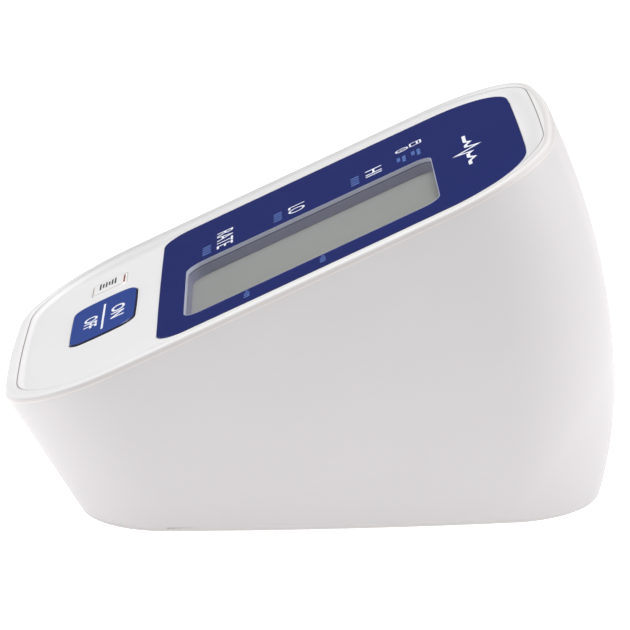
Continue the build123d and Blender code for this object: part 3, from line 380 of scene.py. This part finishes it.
# finishes: display colour, then roughness
case_white = case_finish()
rim_grades = [crest_painted_shade, far_painted_shade, flank_painted_shade]
rim_white = graded_finish("rim_white", rgb(236, 235, 235), RIM_ROUGHNESS, rim_grades, RIM_SPECULAR)
fascia_white = graded_finish("fascia_white", rgb(237, 236, 237), FASCIA_ROUGHNESS, [far_painted_shade])
# painted highlight of the seam's lower edge
seam_band_highlight = solid_finish("seam_band_highlight", rgb(214, 209, 206), 0.45, **MOULDED_GRAIN)
# painted shade: the dark line of the gap between fascia and rim
hairline_gap_shade = graded_finish("hairline_gap_shade", rgb(118, 104, 96), 0.6, [hairline_painted_fade])
inner_white = solid_finish("inner_white", rgb(225, 225, 228), 0.55)
mask_blue = solid_finish("mask_blue", rgb(34, 40, 96), 0.4)
button_blue = button_finish()
memory_white = solid_finish("memory_white", rgb(238, 237, 237), FASCIA_ROUGHNESS, **MOULDED_GRAIN)
lcd_grey = solid_finish("lcd_grey", rgb(154, 156, 152), 0.35, height=0.004)
# painted shade of the window recess's wall
lining_painted_shade = solid_finish("lining_painted_shade", rgb(124, 124, 152), 0.5)
edge_violet = solid_finish("edge_violet", rgb(192, 196, 214), 0.3)
foot_grey = solid_finish("foot_grey", rgb(186, 185, 185), 0.8)
rubber_black = solid_finish("rubber_black", rgb(52, 52, 54), 0.8)
plastic_black = solid_finish("plastic_black", rgb(34, 34, 36), 0.55)
plastic_grey = solid_finish("plastic_grey", rgb(120, 122, 124), 0.5)
foam_grey = solid_finish("foam_grey", rgb(88, 88, 92), 0.95, scale=700.0, height=0.4)
silicone = solid_finish("silicone", rgb(206, 212, 214), 0.4)
board_green = solid_finish("board_green", rgb(24, 98, 52), 0.35, coat=0.3)
cell_sleeve = solid_finish("cell_sleeve", rgb(58, 60, 66), 0.3, coat=0.4)
steel = solid_finish("steel", rgb(190, 190, 188), 0.32, metal=1.0)
nickel = solid_finish("nickel", rgb(208, 206, 198), 0.22, metal=1.0)
ferrite = solid_finish("ferrite", rgb(72, 72, 74), 0.7, metal=0.3)
copper = wound_finish()
lens_print = lens_finish()
print_white = solid_finish("print_white", rgb(240, 242, 250), 0.5)
print_sky = solid_finish("print_sky", rgb(104, 136, 206), 0.5)
print_grey = solid_finish("print_grey", rgb(58, 58, 64), 0.5)
print_beige = solid_finish("print_beige", rgb(206, 190, 184), 0.5)
# painted shade of the gap at the memory button's rear edge
rear_gap_shade_red = solid_finish("rear_gap_shade_red", rgb(150, 66, 50), 0.5)

NODE_FINISHES = {
    "lower_case": case_white,
    "upper_case": rim_white,
    "front_panel": fascia_white,
    "display_lens": lens_print,
    "display_mask": mask_blue,
    "start_stop_button": button_blue,
    "memory_button": memory_white,
    "start_switch": plastic_black,
    "memory_switch": plastic_black,
    "start_plunger": plastic_grey,
    "memory_plunger": plastic_grey,
    "lcd_glass": lcd_grey,
    "lcd_holder": inner_white,
    "lcd_connector": plastic_grey,
    "main_board": board_green,
    "board_screws": steel,
    "board_components": plastic_black,
    "case_screws": steel,
    "rubber_feet": foot_grey,
    "battery_cover": case_white,
    "battery_cells": cell_sleeve,
    "battery_contacts": nickel,
    "battery_springs": nickel,
    "motor_can": steel,
    "motor_endcap": plastic_black,
    "motor_magnets": ferrite,
    "motor_rotor": steel,
    "wobble_plate": inner_white,
    "pump_housing": plastic_black,
    "pump_diaphragm": rubber_black,
    "pump_head": plastic_black,
    "pump_foam": foam_grey,
    "air_jack": plastic_grey,
    "air_tee": inner_white,
    "air_tubes": silicone,
    "pressure_sensor": plastic_black,
    "valve_frame": steel,
    "valve_coil": copper,
    "valve_core": steel,
    "valve_plunger": steel,
    "valve_spring": nickel,
    "power_socket": plastic_black,
    "power_pin": nickel,
}

for node_name, node_finish in NODE_FINISHES.items():
    for material_slot in nodes[node_name].material_slots:
        material_slot.link = "OBJECT"
        material_slot.material = node_finish


# ------------------------------------------------------------- printed words, marks and thin trim
CAPITAL_SHARE = 0.7  # height of the font's capitals over its size
WORD_RESOLUTION = 4
MITRE_LIMIT = 0.35  # keeps a line's sharp bends from running out into long points
BAR_CORNER = 0.1
BAR_CORNER_STEPS = 2


def finish_print(piece, place, ink, body):
    """Gives a printed piece its place, ink and body."""
    bpy.context.scene.collection.objects.link(piece)
    piece.matrix_world = place
    piece.data.materials.append(ink)
    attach(piece, body)


def print_word(name, word, place, height, stretch, weight, ink, slot_name, body):
    """Printed word. The height of its capitals and its added weight are in millimetres."""
    text = bpy.data.curves.new(name, "FONT")
    text.body = word
    text.align_x = "CENTER"
    text.align_y = "CENTER"
    text.size = height / CAPITAL_SHARE * MM
    text.offset = weight * MM
    text.extrude = PRINT_THICKNESS * MM / 2
    text.resolution_u = WORD_RESOLUTION
    piece = bpy.data.objects.new(name, text)
    finish_print(piece, place @ Matrix.Diagonal((stretch, 1, 1, 1)), ink, body)


def print_shape(name, loops, place, ink, body, thickness=PRINT_THICKNESS):
    """Flat shape from closed outlines in millimetres; an outline inside another is a hole."""
    curve = bpy.data.curves.new(name, "CURVE")
    curve.dimensions = "2D"
    curve.fill_mode = "BOTH"
    curve.extrude = thickness * MM / 2
    for loop in loops:
        spline = curve.splines.new("POLY")
        spline.points.add(len(loop) - 1)
        for point, (x, y) in zip(spline.points, loop):
            point.co = (x * MM, y * MM, 0.0, 1.0)
        spline.use_cyclic_u = True
    finish_print(bpy.data.objects.new(name, curve), place, ink, body)


def rounded_outline(width, length, corner, centre=(0.0, 0.0), steps=6):
    """Corner-rounded rectangle as a list of points."""
    points = []
    for quarter in range(4):
        side_x = 1 if quarter in (0, 3) else -1
        side_y = 1 if quarter in (0, 1) else -1
        middle_x = centre[0] + side_x * (width / 2 - corner)
        middle_y = centre[1] + side_y * (length / 2 - corner)
        for step in range(steps + 1):
            angle = math.pi / 2 * (quarter + step / steps)
            x, y = corner * math.cos(angle), corner * math.sin(angle)
            points.append((middle_x + x, middle_y + y))
    return points


def ring_outlines(width, length, corner, band):
    """Rounded rectangle and the hole that leaves a band inside it."""
    hole = rounded_outline(width - 2 * band, length - 2 * band, corner - band)
    return [rounded_outline(width, length, corner), hole]


def bar(width, length, centre, corner=BAR_CORNER):
    """Small bar with barely rounded corners."""
    return rounded_outline(width, length, corner, centre, BAR_CORNER_STEPS)


def stroke_outline(points, width):
    """Outline of a line of even width drawn through points."""
    sides = ([], [])
    for index, point in enumerate(points):
        before = Vector(points[max(index - 1, 0)])
        after = Vector(points[min(index + 1, len(points) - 1)])
        here = Vector(point)
        runs = [run.normalized() for run in (here - before, after - here) if run.length > 0]
        along = sum(runs, Vector((0.0, 0.0))).normalized()
        reach = width / 2 / max(along.dot(runs[0]), MITRE_LIMIT)
        normal = Vector((-along.y, along.x)) * reach
        sides[0].append(tuple(here + normal))
        sides[1].append(tuple(here - normal))
    return sides[0] + sides[1][::-1]


def bar_row(count, width, height, gap, centre=(0.0, 0.0)):
    """Row of small bars side by side, like a line of fine print."""
    pitch = width + gap
    first = centre[0] - pitch * (count - 1) / 2
    return [bar(width, height, (first + pitch * index, centre[1])) for index in range(count)]


def window_ring(name, wall, top_level, bottom_level, ink, slot_name):
    """Thin ring that follows the window's outline between two levels."""
    width, length = (size + 2 * wall for size in WINDOW_SIZE)
    loops = ring_outlines(width, length, WINDOW_CORNER + wall, wall)
    place = panel_matrix(*WINDOW_CENTRE, (top_level + bottom_level) / 2)
    print_shape(name, loops, place, ink, "case", top_level - bottom_level)


def arc_circle(first, middle, last):
    """Centre and radius of the circle through three points."""
    (ax, ay), (bx, by), (cx, cy) = first, middle, last
    twice = 2 * (ax * (by - cy) + bx * (cy - ay) + cx * (ay - by))
    squares = [x * x + y * y for x, y in (first, middle, last)]
    x = (squares[0] * (by - cy) + squares[1] * (cy - ay) + squares[2] * (ay - by)) / twice
    y = (squares[0] * (cx - bx) + squares[1] * (ax - cx) + squares[2] * (bx - ax)) / twice
    return Vector((x, y)), math.hypot(ax - x, ay - y)


def circle_meeting(one, one_radius, other, other_radius, near):
    """Point where two circles cross that lies nearest to a given point."""
    apart = other - one
    gap = apart.length
    along = (gap * gap + one_radius ** 2 - other_radius ** 2) / (2 * gap)
    aside = math.sqrt(one_radius ** 2 - along * along)
    foot = one + apart * (along / gap)
    sideways = Vector((-apart.y, apart.x)) * (aside / gap)
    return min((foot + sideways, foot - sideways), key=lambda point: (point - Vector(near)).length)


def arc_points(centre, radius, first, last, steps):
    """Points of a short arc about a centre, from the direction of one point to that of another.

    The last point is left out: it is the first one of the next arc.
    """
    start = math.atan2(first.y - centre.y, first.x - centre.x)
    turn = math.atan2(last.y - centre.y, last.x - centre.x) - start
    turn = (turn + math.pi) % (2 * math.pi) - math.pi
    points = []
    for step in range(steps):
        angle = start + turn * step / steps
        points.append((centre.x + radius * math.cos(angle), centre.y + radius * math.sin(angle)))
    return points


def bowed_outline(half_widths, reach, bows, corners, inset=0.0, side_steps=16, corner_steps=20):
    """Points of a four-sided outline with bowed sides and rounded corners, moved inwards by inset.

    half_widths are those at the front corners, amidships and at the rear corners. Each side is an
    arc through two corners' tips and the top of its bow.
    """
    front_half, middle_half, rear_half = half_widths
    front_side, rear_side = reach[0] + bows[0], reach[1] - bows[1]
    middle = (front_side + rear_side) / 2
    front_tips = ((-front_half, front_side), (front_half, front_side))
    rear_tips = ((rear_half, rear_side), (-rear_half, rear_side))
    tips = front_tips + rear_tips
    bulges = ((0.0, reach[0]), (middle_half, middle), (0.0, reach[1]), (-middle_half, middle))
    circles = [arc_circle(tips[side], bulges[side], tips[(side + 1) % 4]) for side in range(4)]
    radii = (corners[0], corners[0], corners[1], corners[1])
    hubs = []
    for corner in range(4):
        (one, one_radius), (other, other_radius) = circles[corner - 1], circles[corner]
        radius = radii[corner]
        inner = (one, one_radius - radius, other, other_radius - radius)
        hubs.append(circle_meeting(*inner, tips[corner]))
    points = []
    for side in range(4):
        centre, radius = circles[side]
        before_centre = circles[side - 1][0]
        hub, after = hubs[side], hubs[(side + 1) % 4]
        # the corner before this side, then the side itself
        start = hub + (hub - before_centre).normalized() * radii[side]
        end = hub + (hub - centre).normalized() * radii[side]
        points += arc_points(hub, radii[side] - inset, start, end, corner_steps)
        finish = after + (after - centre).normalized() * radii[(side + 1) % 4]
        points += arc_points(centre, radius - inset, end, finish, side_steps)
    return points


def closed_strip(name, rows, ink, body):
    """Smooth surface between closed rows of world points with the same count."""
    count = len(rows[0])
    faces = []
    for row in range(len(rows) - 1):
        for index in range(count):
            after = (index + 1) % count
            this_row, next_row = row * count, (row + 1) * count
            faces.append((this_row + index, this_row + after, next_row + after, next_row + index))
    mesh = bpy.data.meshes.new(name)
    mesh.from_pydata([point for row in rows for point in row], [], faces)
    for face in mesh.polygons:
        face.use_smooth = True
    finish_print(bpy.data.objects.new(name, mesh), Matrix.Identity(4), ink, body)


def rise_level(depth):
    """Level of the fascia rise at a distance in from the seam."""
    for (near, near_level), (far, far_level) in zip(RISE_ROWS, RISE_ROWS[1:]):
        if depth <= far:
            share = max(0.0, (depth - near) / (far - near))
            return near_level + (far_level - near_level) * share
    return RISE_ROWS[-1][1]


# the fascia's edge rises smoothly to the rim's crest, with a hairline of painted gap shade in it
rise_rows = []
for inset, level in RISE_ROWS:
    reach = (SEAM_REACH[0] - RISE_FRONT_SHARE * (inset - RISE_ROWS[0][0]), SEAM_REACH[1])
    loop = bowed_outline(SEAM_HALF_WIDTHS, reach, SEAM_BOWS, SEAM_CORNERS, inset, *RISE_STEPS)
    rise_rows.append([panel_point(x, s, level) for x, s in loop])
closed_strip("fascia_rise", rise_rows[::-1], fascia_white, "case")
seam = (SEAM_HALF_WIDTHS, SEAM_REACH, SEAM_BOWS, SEAM_CORNERS)
seam_line = [Vector(point) for point in bowed_outline(*seam, 0.0, *SEAM_LINE_STEPS)]
hairline = (HAIRLINE_HALF_WIDTHS, HAIRLINE_REACH, HAIRLINE_BOWS, HAIRLINE_CORNERS)
hairline_rows = []
for inset in (0.0, HAIRLINE_WIDTH):
    row = []
    for x, s in bowed_outline(*hairline, inset):
        depth = min((point - Vector((x, s))).length for point in seam_line)
        row.append(panel_point(x, s, rise_level(depth) + HAIRLINE_LIFT))
    hairline_rows.append(row)
closed_strip("fascia_hairline", hairline_rows[::-1], hairline_gap_shade, "case")

# painted highlight: pale band in the seam between the case halves, for the lit edge of the lower
# case
band_in, band_top, band_bottom = SEAM_BAND
band_loop = bowed_outline(*seam, band_in)
band_rows = [[panel_point(x, s, level) for x, s in band_loop] for level in (band_bottom, band_top)]
closed_strip("seam_band", band_rows, seam_band_highlight, "case")

# cut edge of the window, and the lining of the opening under it, whose grey violet is painted shade
# of the recess wall
window_ring("window_edge", *WINDOW_EDGE, edge_violet, "mask_blue")
window_ring("window_lining", *WINDOW_LINING, lining_painted_shade, "holder_white")

# rows beside the window: name, word, word's place and stretch, place of the fine print under it
WORD_HEIGHT = 4.0
WORD_WEIGHT = 0.0
UNIT_BARS = (4, 0.6, 2.0, 1.5)  # how many bars, their width, height and gap
ROWS = (
    ("high", "HI", (-17.5, 86.5), 1.25, (-16.5, 82.2)),
    ("low", "LO", (-16.9, 67.8), 0.95, (-16.6, 63.5)),
    ("rate", "RATE", (-20.1, 50.4), 1.1, (-16.4, 46.2)),
)
for row_name, word, word_place, stretch, unit_place in ROWS:
    word_matrix = panel_matrix(*word_place, LENS_LEVEL)
    word_look = (WORD_HEIGHT, stretch, WORD_WEIGHT, print_white)
    print_word("label_" + row_name, word, word_matrix, *word_look, "mask_blue", "case")
    unit_matrix = panel_matrix(*unit_place, LENS_LEVEL)
    unit = bar_row(*UNIT_BARS)
    print_shape("unit_" + row_name, unit, unit_matrix, print_sky, "case")

# clock and calendar signs with two rows of fine print beside them
CLOCK_RING = (3.2, 3.2, 1.6, 0.42)  # width, length, corner and band
CLOCK_HANDS = ((0.0, 0.9), (0.0, 0.0), (0.7, -0.5))
CLOCK_HAND_WIDTH = 0.35
CALENDAR_RING = (3.4, 2.9, 0.5, 0.4)
CALENDAR_LINE = (2.2, 0.45, (0.0, 0.45))  # width, length and centre
NOTE_ROWS = ((6, (0.0, 0.65)), (4, (-0.9, -0.65)))  # how many bars, and the row's centre
NOTE_BAR = (0.5, 0.8, 0.45)  # width, height and gap
SIGNS = (  # name, outlines, sign's place, fine print's place
    ("clock", [*ring_outlines(*CLOCK_RING), stroke_outline(CLOCK_HANDS, CLOCK_HAND_WIDTH)],
     (-25.3, 93.9), (-16.4, 93.4)),
    ("calendar", [*ring_outlines(*CALENDAR_RING), bar(*CALENDAR_LINE)],
     (-26.0, 97.2), (-16.6, 96.9)),
)
for sign_name, loops, sign_place, note_place in SIGNS:
    sign_matrix = panel_matrix(*sign_place, LENS_LEVEL)
    print_shape("sign_" + sign_name, loops, sign_matrix, print_white, "case")
    note = [one_bar for count, centre in NOTE_ROWS for one_bar in bar_row(count, *NOTE_BAR, centre)]
    note_matrix = panel_matrix(*note_place, LENS_LEVEL)
    print_shape("note_" + sign_name, note, note_matrix, print_sky, "case")

# pointer marks on the near border, with fine print
POINTER = ((-1.6, -0.4), (-0.9, 0.0), (-1.6, 0.4))
MARK_BARS = (3, 0.5, 1.3, 0.9)
MARK_PRINT_CENTRE = (1.5, 0.0)
MARK_PLACES = {"low": (37.0, 55.9), "high": (37.0, 73.1)}
for mark_name, mark_place in MARK_PLACES.items():
    mark = [POINTER, *bar_row(*MARK_BARS, MARK_PRINT_CENTRE)]
    mark_matrix = panel_matrix(*mark_place, LENS_LEVEL)
    print_shape("mark_" + mark_name, mark, mark_matrix, print_sky, "case")

# plain heartbeat line near the rear edge
TRACE_PLACE = (2.5, 107.9)
TRACE_WIDTH = 0.8
TRACE = (
    (-14.0, 0.0), (-8.0, 0.0), (-6.4, 1.1), (-4.8, 0.0), (-3.0, 0.0), (-1.2, 2.7),
    (1.2, -2.6), (3.0, 0.9), (4.2, 0.0), (7.0, 0.0), (8.8, 1.3), (10.6, 0.0), (14.0, 0.0),
)
trace = [stroke_outline(TRACE, TRACE_WIDTH)]
trace_matrix = panel_matrix(*TRACE_PLACE, LENS_LEVEL)
print_shape("heartbeat_line", trace, trace_matrix, print_white, "case")

# start button: a word on each side of a bar; name, word, place and stretch
BUTTON_WORD_HEIGHT = 3.1
BUTTON_WORD_WEIGHT = 0.08
BUTTON_WORDS = (("button_on", "ON", (1.8, 25.1), 1.5), ("button_off", "OFF", (1.7, 18.6), 1.2))
BUTTON_BAR = (20.8, 0.5, 0.2)  # width, length and corner
BUTTON_BAR_PLACE = (1.1, 21.8)
for word_name, word, word_place, stretch in BUTTON_WORDS:
    word_matrix = panel_matrix(*word_place, START_LEVEL)
    word_look = (BUTTON_WORD_HEIGHT, stretch, BUTTON_WORD_WEIGHT, print_white)
    print_word(word_name, word, word_matrix, *word_look, "button_blue", "start_button")
bar_matrix = panel_matrix(*BUTTON_BAR_PLACE, START_LEVEL)
button_bar = [rounded_outline(*BUTTON_BAR)]
print_shape("button_bar", button_bar, bar_matrix, print_white, "start_button")

# memory button: thin beige ring round its edge, a red-brown bar of painted shade along its rear
# edge, and a page sign
MEMORY_CENTRE = (-27.2, 22.0)
MEMORY_RING = (9.2, 7.9, 1.15, 0.2)  # width, length, corner and band
MEMORY_REAR_SHADE = (6.4, 0.45, (0.7, 3.72), 0.15)  # width, length, centre and corner
PAGE_LINES = (5.0, 3.6, 4.4, 3.2, 4.4, 5.0)  # widths
PAGE_LINE_LENGTH = 0.42
PAGE_PITCH = 0.74
PAGE_CENTRE = (-1.0, -0.4)
page = []
for index, width in enumerate(PAGE_LINES):
    rise = PAGE_CENTRE[1] + (index - (len(PAGE_LINES) - 1) / 2) * PAGE_PITCH
    page.append(bar(width, PAGE_LINE_LENGTH, (PAGE_CENTRE[0], rise)))
memory_matrix = panel_matrix(*MEMORY_CENTRE, MEMORY_LEVEL)
for print_name, loops, ink in (
    ("memory_outline", ring_outlines(*MEMORY_RING), print_beige),
    ("memory_rear_shade", [bar(*MEMORY_REAR_SHADE)], rear_gap_shade_red),
    ("memory_page", page, print_grey),
):
    print_shape(print_name, loops, memory_matrix, ink, "memory_button")

# a copy of the valve's spring, with a mesh of its own, stands in for the hidden original
spring_node = nodes["valve_spring"]
spring = bpy.data.objects.new("valve_spring_coil", spring_node.data.copy())
bpy.context.scene.collection.objects.link(spring)
spring.matrix_world = spring_node.matrix_world
spring.material_slots[0].link = "OBJECT"
spring.material_slots[0].material = nickel
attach(spring, "case")
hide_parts("valve_spring")
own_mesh(spring)

# ------------------------------------------------------------- stage, camera and lights
RANGE_SOCKETS = ("From Min", "From Max", "To Min", "To Max")
half_floor = FLOOR_SIZE / 2
floor_signs = ((-1, -1), (1, -1), (1, 1), (-1, 1))
floor_corners = [(x * half_floor, y * half_floor, 0.0) for x, y in floor_signs]
floor_mesh = bpy.data.meshes.new("floor")
floor_mesh.from_pydata(floor_corners, [], [(0, 1, 2, 3)])
floor = bpy.data.objects.new("floor", floor_mesh)
bpy.context.scene.collection.objects.link(floor)
floor_material, floor_tree, floor_shader = plain_material("floor")
floor_shader.inputs["Base Color"].default_value = FLOOR_COLOUR
floor_shader.inputs["Roughness"].default_value = FLOOR_ROUGHNESS
floor_shader.inputs["Specular IOR Level"].default_value = 0.0
floor_shader.inputs["Emission Color"].default_value = WHITE
# painted light: the floor itself glows, brightest in a pool under the object and fading outwards
floor_where = floor_tree.nodes.new("ShaderNodeTexCoord")
floor_reach = floor_tree.nodes.new("ShaderNodeVectorMath")
floor_reach.operation = "LENGTH"
floor_tree.links.new(floor_where.outputs["Object"], floor_reach.inputs[0])
floor_range = floor_tree.nodes.new("ShaderNodeMapRange")
for socket_name, value in zip(RANGE_SOCKETS, FLOOR_GLOW_REACH + FLOOR_GLOW):
    floor_range.inputs[socket_name].default_value = value
floor_tree.links.new(floor_reach.outputs["Value"], floor_range.inputs["Value"])
floor_tree.links.new(floor_range.outputs["Result"], floor_shader.inputs["Emission Strength"])
floor_mesh.materials.append(floor_material)

# soft sky, dim near the horizon so that the glossy lens stays dark
world = bpy.data.worlds.new("studio")
bpy.context.scene.world = world
world.use_nodes = True
sky_tree = world.node_tree
sky_where = sky_tree.nodes.new("ShaderNodeTexCoord")
sky_parts = sky_tree.nodes.new("ShaderNodeSeparateXYZ")
sky_tree.links.new(sky_where.outputs["Generated"], sky_parts.inputs["Vector"])
sky_range = sky_tree.nodes.new("ShaderNodeMapRange")
for socket_name, value in zip(RANGE_SOCKETS, SKY_SPAN + SKY_STRENGTHS):
    sky_range.inputs[socket_name].default_value = value
sky_tree.links.new(sky_parts.outputs["Z"], sky_range.inputs["Value"])
sky_tree.links.new(sky_range.outputs["Result"], sky_tree.nodes["Background"].inputs["Strength"])
sky_tree.nodes["Background"].inputs["Color"].default_value = WHITE


def aimed(place, aim):
    """Matrix at place that looks at aim with its top up."""
    turn = (Vector(aim) - Vector(place)).to_track_quat("-Z", "Y")
    return Matrix.Translation(place) @ turn.to_matrix().to_4x4()


for light_name, place, aim, width, height, watts in LIGHTS:
    lamp = bpy.data.lights.new(light_name, "AREA")
    lamp.shape = "RECTANGLE"
    lamp.size = width
    lamp.size_y = height
    lamp.energy = watts
    lamp_object = bpy.data.objects.new(light_name, lamp)
    lamp_object.matrix_world = aimed(place, aim)
    bpy.context.scene.collection.objects.link(lamp_object)

camera_data = bpy.data.cameras.new("camera")
camera_data.lens = CAMERA_LENS
camera_data.sensor_width = CAMERA_SENSOR
camera_data.clip_start, camera_data.clip_end = CAMERA_CLIP
camera = bpy.data.objects.new("camera", camera_data)
camera.matrix_world = aimed(CAMERA_PLACE, CAMERA_AIM)
bpy.context.scene.collection.objects.link(camera)
bpy.context.scene.camera = camera
bpy.context.scene.view_settings.view_transform = "Standard"
bpy.context.scene.view_settings.look = "None"
